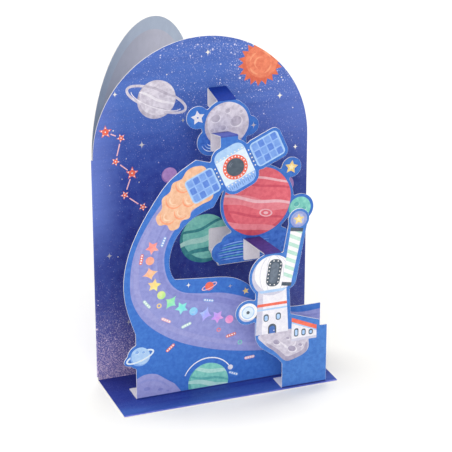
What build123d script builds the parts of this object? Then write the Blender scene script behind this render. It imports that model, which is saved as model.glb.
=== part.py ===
"""Stand-up pop-up greeting card: an arch-topped folded card with a fold-down base and four die-cut layers.

X runs along the base, Y points away from the reader and Z is up. The origin is the centre of the base's
underside. Outlines are drawn in panel coordinates: across from the spine, and up from the floor. Every
sheet is one piece of folded card.
"""

import os
from math import atan2, cos, degrees, hypot, radians, sin, sqrt, tan

from build123d import *

# Card stock and its folds
card_thickness = 0.5
fold_inside_radius = 0.25
tab_corner_radius = 1.2
print_border = 1.8

# Folded card: arch panel, rear panel and base
panel_width = 130.0
panel_height = 200.0
base_depth = 50.0
base_corner_radius = 1.0
spine_bottom = 2.0
spine_cut_clearance = 0.05
rear_swing = 44.0

# Depth of each layer's printed face in front of the arch panel
middle_layer_depth = 16.0
sweep_layer_depth = 32.0
observatory_layer_depth = 48.0

# Moon layer, hung from the arch panel by a strut at its top
moon_centre = (74.1, 152.8)
moon_radius = 13.0
moon_star_centre = (57.0, 158.5)
moon_star_radius = 4.8
moon_spark_centre = (87.5, 150.5)
moon_spark_radius = 4.0
moon_cloud_puffs = [((64.5, 143.5), 6.2), ((77.5, 142.0), 6.6)]
moon_strut_width = 11.0
moon_strut_rise = 2.9
moon_tab_length = 11.2

# Planet layer, carried by a strut under its cloud
planet_centre = (92.6, 104.6)
planet_radius = 20.6
small_moon_centre = (119.0, 97.0)
small_moon_radius = 6.8
star_lobe_centre = (113.5, 122.5)
star_lobe_radius = 4.2
cloud_bottom = 68.7
cloud_puffs = [
    ((71.4, 76.2), 4.8),
    ((77.0, 80.6), 5.0),
    ((85.5, 82.5), 6.0),
    ((94.5, 79.0), 7.6),
    ((105.5, 79.0), 6.4),
]
planet_strut_start = 69.0
planet_strut_width = 21.0
planet_strut_rise = 4.1
planet_tab_length = 12.9

# Sweep layer: a curved band with a satellite at its upper end
sweep_left = 13.4
sweep_right = 126.0
sweep_right_top = 43.0
sweep_outer_curve = [(13.4, 41.0), (7.0, 68.0), (12.5, 95.5), (28.0, 122.0), (50.0, 140.0)]
sweep_inner_curve = [(60.0, 111.0), (43.0, 102.0), (34.6, 87.0), (37.0, 71.0)]
sweep_low_curve = [(37.0, 71.0), (56.0, 69.2), (75.0, 65.5), (91.0, 51.5), (114.0, 43.0)]
sweep_tab_length = 13.6
ringed_moon_centre = (15.8, 27.0)
ringed_moon_radius = 5.8
ringed_moon_ring = (8.2, 2.6)
ringed_moon_tilt = 18.0
satellite_centre = (73.0, 133.0)
satellite_tilt = 24.0
satellite_body = (19.0, 26.0)
satellite_body_corner = 5.0
solar_wing = (18.0, 15.5)
solar_wing_corner = 2.5
solar_wing_gap = 2.4
sweep_strut_start = 64.4
sweep_strut_width = 10.3
sweep_strut_height = 151.0
sweep_strut_fall = 3.1
sweep_strut_tab_length = 10.6

# Observatory layer: a domed tower with a telescope, on a plain block
block_left = 95.7
block_right = 123.2
block_height = 36.6
roof_centre = (89.2, 72.0)
roof_radius = 12.2
tower_foot_width = 20.0
tower_top_width = 16.5
rock_curve = [(79.0, 37.0), (82.0, 29.0), (90.0, 22.5), (95.7, 16.0)]
telescope_foot = (98.2, 68.0)
telescope_tip = (104.7, 103.6)
telescope_width = 7.6
halo_radius = 4.5
dish_centre = (74.6, 51.5)
dish_radius = 5.6
annex_left = 99.5
annex_width = 15.5
annex_eave = 38.4
annex_ridge = 45.2
observatory_tab_length = 12.7
observatory_strut_width = 10.0
observatory_strut_fall = 2.9
observatory_strut_tab_length = 13.2

# Rounding where the outlines of two motifs meet
inside_corner_radius = 1.0
corner_probe_rays = 24
corner_probe_share = 0.6

# Values worked out from the above
half_card = card_thickness / 2
fold_overlap = 4 * card_thickness
fold_radius = fold_inside_radius + half_card
panel_inset = fold_inside_radius + card_thickness + spine_cut_clearance
arch_radius = (panel_width - panel_inset) / 2
arch_centre_x = panel_inset + arch_radius
springline = panel_height - arch_radius

# The arch panel's printed face, a plane square to it along the spine, and the floor
spine_x = -(panel_inset + panel_width) / 2
arch_face_y = base_depth / 2
arch_plane = Plane(origin=(spine_x, arch_face_y, 0), x_dir=(1, 0, 0), z_dir=(0, -1, 0))
side_plane = Plane(origin=(spine_x, arch_face_y, 0), x_dir=(0, 1, 0), z_dir=(1, 0, 0))
floor_plane = Plane(origin=(spine_x, arch_face_y, 0))


def fold_reach(turn):
    """Distance from a fold's corner to where its bend begins, for a turn in degrees."""
    return fold_radius * tan(radians(turn / 2))


def fold_line_on_disc(centre, radius, strut_width):
    """Height at which a strut of this width leaves the top of a bordered disc."""
    return centre[1] + sqrt((radius + print_border) ** 2 - (strut_width / 2) ** 2)


def folded_strip(points, start, width):
    """Makes a strip of card of one width, folded along a centre line of (y, z) points."""
    with BuildPart() as strip:
        with BuildSketch(side_plane.offset(start)):
            with BuildLine():
                FilletPolyline(*points, radius=fold_radius)
            trace(line_width=card_thickness)
        extrude(amount=width)
    return strip.part


def folded_strut(points, start, width):
    """Makes a folded strip that ends in a glue tab with two rounded corners."""
    tip_y, tip_z = points[-1]
    with BuildPart() as strut:
        add(folded_strip(points, start, width))
        corners = [
            edge
            for edge in strut.edges()
            if hypot(edge.center().Y - arch_face_y - tip_y, edge.center().Z - tip_z) < half_card / 2
        ]
        fillet(corners, radius=tab_corner_radius)
    return strut.part


def arch_outline(bottom):
    """Makes the arch-topped panel face, from the given bottom edge to the top of the arch."""
    with BuildSketch() as outline:
        with BuildLine():
            Polyline(
                (panel_inset, springline),
                (panel_inset, bottom),
                (panel_width, bottom),
                (panel_width, springline),
            )
            CenterArc((arch_centre_x, springline), arch_radius, 0, 180)
        make_face()
    return outline.sketch


def bordered_disc(centre, radius):
    """Adds the outline of a printed disc with the border round it."""
    with Locations(centre):
        Circle(radius + print_border)


def bordered_panel(centre, size, corner, tilt=0.0):
    """Adds the outline of a printed round-cornered panel with the border round it."""
    width, height = size
    with Locations(centre):
        RectangleRounded(
            width + 2 * print_border,
            height + 2 * print_border,
            corner + print_border,
            rotation=tilt,
        )


def trim_above(height, left, right):
    """Cuts the outline flat at a fold line between two X positions."""
    with Locations(((left + right) / 2, height)):
        Rectangle(
            right - left,
            panel_height,
            align=(Align.CENTER, Align.MIN),
            mode=Mode.SUBTRACT,
        )


def round_inside_corners(outline, above):
    """Rounds every sharp inside corner of a sketch above a height, as a die cutter's rule is bent."""
    face = outline.sketch_local.faces()[0]
    corners = [v for v in outline.vertices() if v.Y > above and is_inside_corner(face, v)]
    if corners:
        fillet(corners, radius=inside_corner_radius)


def is_inside_corner(face, corner):
    """Says whether the face fills clearly more than half of a small circle round a corner."""
    probe = inside_corner_radius / 5
    filled = 0
    for ray in range(corner_probe_rays):
        angle = radians(360 * (ray + 0.5) / corner_probe_rays)
        filled += face.is_inside((corner.X + probe * cos(angle), corner.Y + probe * sin(angle), 0))
    return filled > corner_probe_share * corner_probe_rays


# Folded card
spine_turn = 180 - rear_swing
spine_corner = (fold_inside_radius + card_thickness - fold_reach(spine_turn), half_card)
rear_direction = (cos(radians(rear_swing)), sin(radians(rear_swing)))
rear_origin = (
    spine_corner[0] * (1 - rear_direction[0]),
    spine_corner[1] - spine_corner[0] * rear_direction[1],
)
rear_panel_plane = Plane(
    origin=(spine_x + rear_origin[0], arch_face_y + rear_origin[1], 0),
    x_dir=(*rear_direction, 0),
    z_dir=(rear_direction[1], -rear_direction[0], 0),
)
arch_panel_face = arch_outline(half_card + fold_radius)
rear_panel_face = arch_outline(0)
base_fold = folded_strip(
    [(-fold_overlap, half_card), (half_card, half_card), (half_card, fold_overlap)],
    panel_inset,
    panel_width - panel_inset,
)

with BuildPart() as folded_card:
    # Arch panel
    with BuildSketch(arch_plane):
        add(arch_panel_face)
    extrude(amount=-card_thickness)
    # Rear panel, swung back about the spine
    with BuildSketch(rear_panel_plane):
        add(rear_panel_face)
    extrude(amount=half_card, both=True)
    # Spine fold between the two panels
    with BuildSketch(floor_plane.offset(spine_bottom)):
        with BuildLine():
            FilletPolyline(
                (panel_inset + fold_overlap, half_card),
                spine_corner,
                (
                    rear_origin[0] + (panel_inset + fold_overlap) * rear_direction[0],
                    rear_origin[1] + (panel_inset + fold_overlap) * rear_direction[1],
                ),
                radius=fold_radius,
            )
        trace(line_width=card_thickness)
    extrude(amount=springline - spine_bottom)
    # Base, folded down from the arch panel's bottom edge
    add(base_fold)
    with BuildSketch(floor_plane) as base_outline:
        with Locations((0, -base_depth)):
            Rectangle(panel_width, base_depth - fold_inside_radius, align=(Align.MIN, Align.MIN))
        fillet(base_outline.vertices().group_by(Axis.Y)[0], radius=base_corner_radius)
    extrude(amount=card_thickness)

# Moon layer
moon_fold_height = fold_line_on_disc(moon_centre, moon_radius, moon_strut_width)
moon_strut_start = moon_centre[0] - moon_strut_width / 2
moon_layer_y = -middle_layer_depth + half_card
moon_strut_slope = degrees(atan2(moon_strut_rise, middle_layer_depth - card_thickness))
moon_strut_corner = moon_fold_height + fold_reach(90 - moon_strut_slope)

moon_strut = folded_strut(
    [
        (moon_layer_y, moon_centre[1]),
        (moon_layer_y, moon_strut_corner),
        (-half_card, moon_strut_corner + moon_strut_rise),
        (-half_card, moon_strut_corner + moon_strut_rise - moon_tab_length),
    ],
    moon_strut_start,
    moon_strut_width,
)

with BuildPart() as moon_layer:
    with BuildSketch(arch_plane.offset(middle_layer_depth)) as moon_outline:
        bordered_disc(moon_centre, moon_radius)
        bordered_disc(moon_star_centre, moon_star_radius)
        bordered_disc(moon_spark_centre, moon_spark_radius)
        for puff_centre, puff_radius in moon_cloud_puffs:
            bordered_disc(puff_centre, puff_radius)
        round_inside_corners(moon_outline, 0)
        trim_above(moon_fold_height, moon_strut_start, moon_strut_start + moon_strut_width)
    extrude(amount=-card_thickness)
    add(moon_strut)

# Planet layer
planet_strut_slope = degrees(atan2(planet_strut_rise, middle_layer_depth - card_thickness))
planet_strut_corner = cloud_bottom - fold_reach(90 - planet_strut_slope)
cloud_right = cloud_puffs[-1][0][0]
cloud_top = max(centre[1] for centre, _ in cloud_puffs)

planet_strut = folded_strut(
    [
        (moon_layer_y, cloud_top),
        (moon_layer_y, planet_strut_corner),
        (-half_card, planet_strut_corner + planet_strut_rise),
        (-half_card, planet_strut_corner + planet_strut_rise + planet_tab_length),
    ],
    planet_strut_start,
    planet_strut_width,
)

with BuildPart() as planet_layer:
    with BuildSketch(arch_plane.offset(middle_layer_depth)) as planet_outline:
        bordered_disc(planet_centre, planet_radius)
        bordered_disc(small_moon_centre, small_moon_radius)
        bordered_disc(star_lobe_centre, star_lobe_radius)
        for puff_centre, puff_radius in cloud_puffs:
            bordered_disc(puff_centre, puff_radius)
        with Locations((planet_strut_start, cloud_bottom)):
            Rectangle(
                cloud_right - planet_strut_start,
                cloud_top - cloud_bottom,
                align=(Align.MIN, Align.MIN),
            )
        with Locations((planet_centre[0], cloud_bottom)):
            Rectangle(
                panel_width,
                panel_height,
                align=(Align.CENTER, Align.MAX),
                mode=Mode.SUBTRACT,
            )
        round_inside_corners(planet_outline, cloud_bottom + inside_corner_radius)
    extrude(amount=-card_thickness)
    add(planet_strut)

# Sweep layer
sweep_layer_y = -sweep_layer_depth + half_card
layer_foot = card_thickness + half_card
sweep_strut_slope = degrees(atan2(sweep_strut_fall, sweep_layer_depth - middle_layer_depth))
sweep_strut_corner = sweep_strut_height + fold_reach(90 + sweep_strut_slope)
middle_tab_y = -middle_layer_depth - half_card
wing_offset = satellite_body[0] / 2 + solar_wing_gap + solar_wing[0] / 2
wing_centres = [
    (
        satellite_centre[0] + side * wing_offset * cos(radians(satellite_tilt)),
        satellite_centre[1] + side * wing_offset * sin(radians(satellite_tilt)),
    )
    for side in (-1, 1)
]

sweep_base_tab = folded_strip(
    [
        (sweep_layer_y, layer_foot + fold_overlap),
        (sweep_layer_y, layer_foot),
        (sweep_layer_y + sweep_tab_length, layer_foot),
    ],
    sweep_left,
    sweep_right - sweep_left,
)

sweep_strut = folded_strut(
    [
        (sweep_layer_y, satellite_centre[1]),
        (sweep_layer_y, sweep_strut_corner),
        (middle_tab_y, sweep_strut_corner - sweep_strut_fall),
        (middle_tab_y, sweep_strut_corner - sweep_strut_fall - sweep_strut_tab_length),
    ],
    sweep_strut_start,
    sweep_strut_width,
)

with BuildPart() as sweep_layer:
    with BuildSketch(arch_plane.offset(sweep_layer_depth)) as sweep_outline:
        with BuildLine():
            Spline(*sweep_outer_curve, tangents=[(-0.35, 1), (1, 0.55)])
            Polyline(sweep_outer_curve[-1], satellite_centre, sweep_inner_curve[0])
            Spline(*sweep_inner_curve, tangents=[(-1, -0.25), (0.75, -1)])
            Spline(*sweep_low_curve, tangents=[(1, -0.1), (1, 0)])
            Polyline(
                sweep_low_curve[-1],
                (sweep_right, sweep_right_top),
                (sweep_right, layer_foot + fold_radius),
                (sweep_left, layer_foot + fold_radius),
                sweep_outer_curve[0],
            )
        make_face()
        bordered_panel(satellite_centre, satellite_body, satellite_body_corner, satellite_tilt)
        for wing_centre in wing_centres:
            bordered_panel(wing_centre, solar_wing, solar_wing_corner, satellite_tilt)
        with Locations(satellite_centre):
            Rectangle(
                2 * wing_offset,
                solar_wing[1] / 2,
                rotation=satellite_tilt,
            )
        with Locations((sweep_strut_start, satellite_centre[1])):
            Rectangle(
                sweep_strut_width,
                sweep_strut_height - satellite_centre[1],
                align=(Align.MIN, Align.MIN),
            )
        bordered_disc(ringed_moon_centre, ringed_moon_radius)
        with Locations(ringed_moon_centre):
            Ellipse(
                ringed_moon_ring[0] + print_border,
                ringed_moon_ring[1] + print_border,
                rotation=ringed_moon_tilt,
            )
        round_inside_corners(sweep_outline, layer_foot + fold_radius + inside_corner_radius)
    extrude(amount=-card_thickness)
    # Base tab, folded back and glued down
    add(sweep_base_tab)
    # Strut to the moon layer
    add(sweep_strut)

# Observatory layer
observatory_layer_y = -observatory_layer_depth + half_card
roof_fold_height = fold_line_on_disc(roof_centre, roof_radius, observatory_strut_width)
observatory_strut_start = roof_centre[0] - observatory_strut_width / 2
observatory_strut_slope = degrees(
    atan2(observatory_strut_fall, observatory_layer_depth - middle_layer_depth)
)
observatory_strut_corner = roof_fold_height + fold_reach(90 + observatory_strut_slope)
annex_right = annex_left + annex_width + 2 * print_border
telescope_run = (
    telescope_tip[0] - telescope_foot[0],
    telescope_tip[1] - telescope_foot[1],
)
telescope_middle = (
    (telescope_tip[0] + telescope_foot[0]) / 2,
    (telescope_tip[1] + telescope_foot[1]) / 2,
)

observatory_base_tab = folded_strip(
    [
        (observatory_layer_y, layer_foot + fold_overlap),
        (observatory_layer_y, layer_foot),
        (observatory_layer_y + observatory_tab_length, layer_foot),
    ],
    block_left,
    block_right - block_left,
)

observatory_strut = folded_strut(
    [
        (observatory_layer_y, roof_centre[1]),
        (observatory_layer_y, observatory_strut_corner),
        (middle_tab_y, observatory_strut_corner - observatory_strut_fall),
        (
            middle_tab_y,
            observatory_strut_corner - observatory_strut_fall - observatory_strut_tab_length,
        ),
    ],
    observatory_strut_start,
    observatory_strut_width,
)

with BuildPart() as observatory_layer:
    with BuildSketch(arch_plane.offset(observatory_layer_depth)) as observatory_outline:
        # Plain block, down to its fold
        with Locations((block_left, layer_foot + fold_radius)):
            Rectangle(
                block_right - block_left,
                block_height - layer_foot - fold_radius,
                align=(Align.MIN, Align.MIN),
            )
        # Rock and tower
        with BuildLine():
            Spline(*rock_curve)
            Polyline(
                rock_curve[-1],
                (block_right - print_border, rock_curve[-1][1]),
                (roof_centre[0] + tower_foot_width / 2 + print_border, block_height),
                (roof_centre[0] + tower_top_width / 2 + print_border, roof_centre[1]),
                (roof_centre[0] - tower_top_width / 2 - print_border, roof_centre[1]),
                rock_curve[0],
            )
        make_face()
        # Dome, dish, annex and telescope with its halo
        bordered_disc(roof_centre, roof_radius)
        bordered_disc(dish_centre, dish_radius)
        bordered_disc(telescope_tip, halo_radius)
        with BuildLine():
            Polyline(
                (annex_left, rock_curve[1][1]),
                (annex_right, rock_curve[1][1]),
                (annex_right, annex_eave + print_border),
                (annex_left, annex_ridge + print_border),
                close=True,
            )
        make_face()
        with Locations(telescope_middle):
            SlotCenterToCenter(
                hypot(*telescope_run),
                telescope_width + 2 * print_border,
                rotation=degrees(atan2(telescope_run[1], telescope_run[0])),
            )
        round_inside_corners(observatory_outline, layer_foot + fold_radius + inside_corner_radius)
        trim_above(
            roof_fold_height,
            observatory_strut_start,
            observatory_strut_start + observatory_strut_width,
        )
    extrude(amount=-card_thickness)
    # Base tab, folded back and glued down
    add(observatory_base_tab)
    # Strut to the planet layer
    add(observatory_strut)

# Labels and files
os.makedirs("parts", exist_ok=True)
folded_card.part.label = "folded_card"
moon_layer.part.label = "moon_layer"
planet_layer.part.label = "planet_layer"
sweep_layer.part.label = "sweep_layer"
observatory_layer.part.label = "observatory_layer"
export_step(folded_card.part, "parts/folded_card.step")
export_step(moon_layer.part, "parts/moon_layer.step")
export_step(planet_layer.part, "parts/planet_layer.step")
export_step(sweep_layer.part, "parts/sweep_layer.step")
export_step(observatory_layer.part, "parts/observatory_layer.step")
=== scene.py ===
"""Dresses the stand-up pop-up card: five printed sheets of card on a pale floor, in soft studio light.

The prints are drawn in panel coordinates, in millimetres: across from the spine, and up from the floor.
Each is a list of simple shapes laid down one over another, in inks that are materials of their own.
"""

from math import atan2, ceil, cos, degrees, dist, pi, radians, sin

import bpy
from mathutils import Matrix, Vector
from mathutils.geometry import delaunay_2d_cdt


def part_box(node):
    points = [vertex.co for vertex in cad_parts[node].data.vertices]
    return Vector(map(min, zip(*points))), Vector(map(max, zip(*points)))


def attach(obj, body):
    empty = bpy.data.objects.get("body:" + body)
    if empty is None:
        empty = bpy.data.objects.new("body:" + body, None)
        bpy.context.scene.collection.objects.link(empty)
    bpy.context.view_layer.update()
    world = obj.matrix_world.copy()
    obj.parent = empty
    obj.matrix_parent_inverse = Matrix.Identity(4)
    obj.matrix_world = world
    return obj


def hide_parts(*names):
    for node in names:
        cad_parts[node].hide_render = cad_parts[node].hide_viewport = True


MM = 0.001

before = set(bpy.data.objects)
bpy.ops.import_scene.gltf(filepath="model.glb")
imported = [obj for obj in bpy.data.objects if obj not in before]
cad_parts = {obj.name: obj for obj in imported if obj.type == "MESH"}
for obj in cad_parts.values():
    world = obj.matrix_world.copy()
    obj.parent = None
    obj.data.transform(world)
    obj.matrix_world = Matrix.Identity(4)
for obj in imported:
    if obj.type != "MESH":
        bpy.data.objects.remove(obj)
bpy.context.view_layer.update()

# Places taken from the frame, in millimetres
card_low, card_high = (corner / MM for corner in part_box("folded_card"))
SPINE_X = card_low.x
ARCH_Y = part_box("moon_layer")[1].y / MM
MIDDLE_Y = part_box("moon_layer")[0].y / MM
SWEEP_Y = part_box("sweep_layer")[0].y / MM
OBSERVATORY_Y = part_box("observatory_layer")[0].y / MM
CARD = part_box("sweep_layer")[0].z / MM
PANEL_WIDTH = card_high.x - card_low.x
PANEL_HEIGHT = card_high.z
PANEL_INSET = -2 * SPINE_X - PANEL_WIDTH
ARCH_RADIUS = (PANEL_WIDTH - PANEL_INSET) / 2
ARCH_CENTRE_X = PANEL_INSET + ARCH_RADIUS
SPRINGLINE = PANEL_HEIGHT - ARCH_RADIUS
BASE_FRONT = card_low.y

# The bare edge that the die leaves round a print, and the longest step on a curve
RIM = 0.06
CURVE_STEP = 0.6

# How far faces may turn from each other and still lie in one plane, or belong to one fold, as cosines, and
# how far they have to turn to show an edge
SAME_WAY = 0.9999
FOLD_LIMIT = cos(radians(45))
EDGE_ANGLE = radians(32)

# How far a point may lie from a side's plane, and the gap at which points on it are joined, in millimetres
PLANE_GAP = 0.02
JOIN_GAP = 1e-5


# Outlines


def between(start, end, share):
    """The point at a share of the way from one point to another."""
    return (start[0] + (end[0] - start[0]) * share, start[1] + (end[1] - start[1]) * share)


def turned(points, centre, tilt=0.0):
    """Points drawn about the origin, turned by an angle and moved to a centre."""
    c, s = cos(radians(tilt)), sin(radians(tilt))
    return [(centre[0] + c * x - s * z, centre[1] + s * x + c * z) for x, z in points]


def spot(centre, x, z, tilt):
    """One point, measured from a centre along turned axes."""
    return turned([(x, z)], centre, tilt)[0]


def circle(centre, radius, wobble=0.0, seed=0.0):
    """A circle, a little uneven where it is drawn by hand."""
    count = max(10, ceil(2 * pi * radius / CURVE_STEP))
    points = []
    for i in range(count):
        angle = 2 * pi * i / count
        uneven = sin(2 * angle + seed) + 0.6 * sin(3 * angle + 2.1 * seed) + 0.4 * sin(7 * angle + 3.7 * seed)
        reach = radius + wobble * uneven
        points.append((centre[0] + reach * cos(angle), centre[1] + reach * sin(angle)))
    return points


def oval(centre, half_width, half_height, tilt=0.0):
    count = max(12, ceil(2 * pi * half_width / CURVE_STEP))
    angles = [2 * pi * i / count for i in range(count)]
    return turned([(half_width * cos(a), half_height * sin(a)) for a in angles], centre, tilt)


def arc(centre, radius, start, end, flat=1.0, tilt=0.0):
    """An open line of points along a circle or an oval."""
    count = max(6, ceil(radians(abs(end - start)) * radius / CURVE_STEP))
    angles = [radians(start + (end - start) * i / count) for i in range(count + 1)]
    return turned([(radius * cos(a), flat * radius * sin(a)) for a in angles], centre, tilt)


def smooth(points, closed=False, steps=6):
    """A curve through a few points, as Catmull and Rom draw it."""
    line = [points[-1], *points, *points[:2]] if closed else [points[0], *points, points[-1]]
    out = []
    for four in zip(line, line[1:], line[2:], line[3:]):
        for step in range(steps):
            t = step / steps
            weights = (
                (-t + 2 * t * t - t**3) / 2,
                (2 - 5 * t * t + 3 * t**3) / 2,
                (t + 4 * t * t - 3 * t**3) / 2,
                (-t * t + t**3) / 2,
            )
            out.append(tuple(sum(w * p[k] for w, p in zip(weights, four)) for k in (0, 1)))
    return out if closed else [*out, points[-1]]


def stroke(points, width, taper=0.0):
    """A brush stroke along an open line of points, narrower towards its ends by the taper."""
    left, right = [], []
    last = len(points) - 1
    for i, (x, z) in enumerate(points):
        before, after = points[max(i - 1, 0)], points[min(i + 1, last)]
        run = dist(before, after)
        across = (-(after[1] - before[1]) / run, (after[0] - before[0]) / run)
        half = width / 2 * (1 - taper * abs(2 * i / last - 1) ** 2)
        left.append((x + across[0] * half, z + across[1] * half))
        right.append((x - across[0] * half, z - across[1] * half))
    return left + right[::-1]


def along(points, count):
    """Evenly spaced places on an open line of points, each with the line's direction there."""
    runs = [dist(a, b) for a, b in zip(points, points[1:])]
    places = []
    for i in range(count):
        left = sum(runs) * i / (count - 1)
        k = 0
        while k < len(runs) - 1 and left > runs[k]:
            left -= runs[k]
            k += 1
        a, b = points[k], points[k + 1]
        heading = degrees(atan2(b[1] - a[1], b[0] - a[0]))
        places.append((between(a, b, left / runs[k]), heading))
    return places


def capsule(centre, length, width, tilt):
    """A strip with round ends."""
    half = (length - width) / 2
    steps = 6
    ends = []
    for side in (1, -1):
        for i in range(steps + 1):
            angle = -pi / 2 * side + pi * i / steps
            ends.append((side * half + width / 2 * cos(angle), width / 2 * sin(angle)))
    return turned(ends, centre, tilt)


def box(centre, width, height, corner=0.0, tilt=0.0):
    """A rectangle, with round corners if they are given a radius."""
    points = []
    steps = 5 if corner else 0
    for i, (side, up) in enumerate(((1, 1), (-1, 1), (-1, -1), (1, -1))):
        for k in range(steps + 1):
            angle = radians(90 * i + (90 * k / steps if steps else 0))
            x = side * (width / 2 - corner) + corner * cos(angle)
            z = up * (height / 2 - corner) + corner * sin(angle)
            points.append((x, z))
    return turned(points, centre, tilt)


def star(centre, outer, inner, points, turn):
    """A star whose first point is turned by an angle from the right."""
    out = []
    for i in range(2 * points):
        angle = radians(turn + 180 * i / points)
        reach = inner if i % 2 else outer
        out.append((centre[0] + reach * cos(angle), centre[1] + reach * sin(angle)))
    return out


def sparkle(centre, radius, hollow=2.1, tilt=0.0):
    """A four-pointed star with hollow sides, taller than it is wide."""
    steps = 6
    slender = 0.82
    out = []
    for quarter in range(4):
        for i in range(steps):
            t = i / steps
            x, z = spot((0, 0), (1 - t) ** hollow, t**hollow, 90 * quarter)
            out.append((slender * radius * x, radius * z))
    return turned(out, centre, tilt)


def wave(centre, length, tilt, rise, cycles, phase):
    """An open wavy line, with points two steps apart."""
    count = max(8, ceil(length / (2 * CURVE_STEP)))
    points = []
    for i in range(count + 1):
        share = i / count
        points.append((length * (share - 0.5), rise * sin(2 * pi * cycles * share + phase)))
    return turned(points, centre, tilt)


def arch(margin):
    """The arch panel's outline, drawn in by a margin."""
    feet = [(PANEL_INSET + margin, margin), (PANEL_WIDTH - margin, margin)]
    return feet + arc((ARCH_CENTRE_X, SPRINGLINE), ARCH_RADIUS - margin, 0, 180)


def is_clockwise(points):
    return sum(a[0] * b[1] - b[0] * a[1] for a, b in zip(points, points[1:] + points[:1])) < 0


class Print:
    """The shapes printed on one flat side of a sheet, or within one of its shapes, in the order laid down."""

    def __init__(self, ground, shapes=None, within=None):
        self.ground = ground
        self.shapes = [] if shapes is None else shapes
        self.within = within

    def add(self, points, ink):
        """Lays down a shape. What is added to the print that this returns doesn't spread out of the shape."""
        if is_clockwise(points):
            points = points[::-1]
        self.shapes.append((points, ink, self.within))
        return Print(self.ground, self.shapes, len(self.shapes) - 1)

    def disc(self, centre, radius, ink):
        return self.add(circle(centre, radius), ink)

    def line(self, points, width, ink, taper=0.0):
        return self.add(stroke(points, width, taper), ink)

    def ink_at(self, covering):
        """The ink on top where these shapes cover the card."""
        for number in sorted(covering, reverse=True):
            within = self.shapes[number][2]
            if within is None or within in covering:
                return self.shapes[number][1]
        return self.ground


def printed(ground, *painters):
    """A print on a ground, by the functions that paint its parts."""
    art = Print(ground)
    for paint in painters:
        paint(art)
    return art


# Motifs


def shaded_disc(art, centre, radius, ink, shade, seed=0.0):
    """A disc that darkens along its lower left edge."""
    body = art.add(circle(centre, radius, 0.008 * radius, seed), shade)
    lit = (centre[0] + 0.1 * radius, centre[1] + 0.12 * radius)
    body.add(circle(lit, 0.97 * radius, 0.014 * radius, seed + 1), ink)
    return body


def craters(body, centre, radius, places, ink, rim):
    """Craters at shares of a disc's radius, each with a lighter edge."""
    for x, z, share in places:
        size = share * radius
        place = (centre[0] + x * radius, centre[1] + z * radius)
        edge = (place[0] + 0.1 * size, place[1] - 0.12 * size)
        body.add(oval(edge, 1.12 * size, 0.96 * size, 20), rim)
        body.add(oval(place, size, 0.84 * size, 20), ink)


def ring_part(art, centre, reach, flat, tilt, start, end, width, ink):
    art.line(arc(centre, reach, start, end, flat, tilt), width, ink)


def ringed(art, centre, radius, tilt, inks, ring_ink, reach, flat, width, seed=0.0):
    """A planet with a ring that passes behind it and in front of it."""
    ring_part(art, centre, reach, flat, tilt, -6, 186, width, ring_ink)
    body = shaded_disc(art, centre, radius, *inks, seed)
    ring_part(art, centre, reach, flat, tilt, 172, 368, width, ring_ink)
    return body


def stripes(body, centre, tilt, length, cycles, taper, rows, phase=1.0):
    """Wavy stripes across a disc. Each row gives its offset from the middle, its width, rise and ink."""
    for offset, width, rise, ink in rows:
        middle = spot(centre, 0, offset, tilt)
        body.line(wave(middle, length, tilt, rise, cycles, phase * offset), width, ink, taper)


def dotted(art, points, count, radius, ink):
    """A row of dots along a line."""
    for place, _ in along(points, count):
        art.disc(place, radius, ink)


def confetti(art, centre, tilt, ink):
    """A short strip with white dots along it."""
    length = 6.4
    art.add(capsule(centre, length, 1.7, tilt), ink)
    dotted(art, turned([(1.0 - length / 2, 0), (length / 2 - 1.0, 0)], centre, tilt), 4, 0.5, "white")


def opening(body, centre, surround, pane, ink, drop=0.0, tilt=0.0):
    """A dark surround with a pane in it, each given as its width, height and corner radius."""
    body.add(box(centre, *surround, tilt), "charcoal")
    body.add(box((centre[0], centre[1] - drop), *pane, tilt), ink)


# Arch panel, base and page

# Each sparkle's place and reach
NIGHT_SPARKLES = [
    ((69.0, 190.5), 2.4),
    ((14.5, 172.0), 2.0),
    ((112.5, 160.5), 2.6),
    ((29.5, 141.0), 2.7),
    ((9.0, 77.0), 2.4),
    ((19.5, 34.0), 2.0),
    ((103.0, 137.5), 1.9),
    ((122.5, 128.5), 2.2),
    ((54.0, 152.5), 1.9),
]


def paint_foil_stars(art):
    """Small foil dots and sparkles over the sky, the dots thicker towards the top and the open edge."""
    margin = 2
    for i in range(90):
        x = PANEL_WIDTH * ((0.618034 * i + 0.31) % 1.0)
        z = PANEL_HEIGHT * ((0.754878 * i + 0.17 * sin(3.1 * i)) % 1.0)
        reach = dist((x, max(z, SPRINGLINE)), (ARCH_CENTRE_X, SPRINGLINE))
        inside = reach < ARCH_RADIUS - margin and x > PANEL_INSET + margin and z > 1.5 * margin
        thick = 0.35 + 0.4 * z / PANEL_HEIGHT + 0.25 * x / PANEL_WIDTH
        if inside and (0.569840 * i) % 1.0 < thick:
            art.disc((x, z), 0.24 + 0.2 * ((0.437 * i) % 1.0), "foil")
    for place, radius in NIGHT_SPARKLES:
        art.add(sparkle(place, radius), "foil")


def paint_pale_planet(art):
    """A pale planet with a broad ring."""
    place, radius, tilt = (38.5, 166.5), 11.2, -24
    reach, flat = 1.66 * radius, 0.3
    body = ringed(art, place, radius, tilt, ("moon_grey", "moon_shade"), "moon_grey", reach, flat, 1.5, 0.7)
    rows = [(-4.6, 1.5, 0.5, "moon_shade"), (0.4, 1.5, 0.6, "moon_pale"), (5.2, 1.5, 0.4, "moon_shade")]
    stripes(body, place, tilt, 23, 1.2, 0.5, rows)
    ring_part(art, place, reach, flat, tilt, 172, 368, 1.5, "moon_grey")
    ring_part(art, place, 1.42 * radius, flat, tilt, 188, 352, 0.5, "moon_pale")


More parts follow.
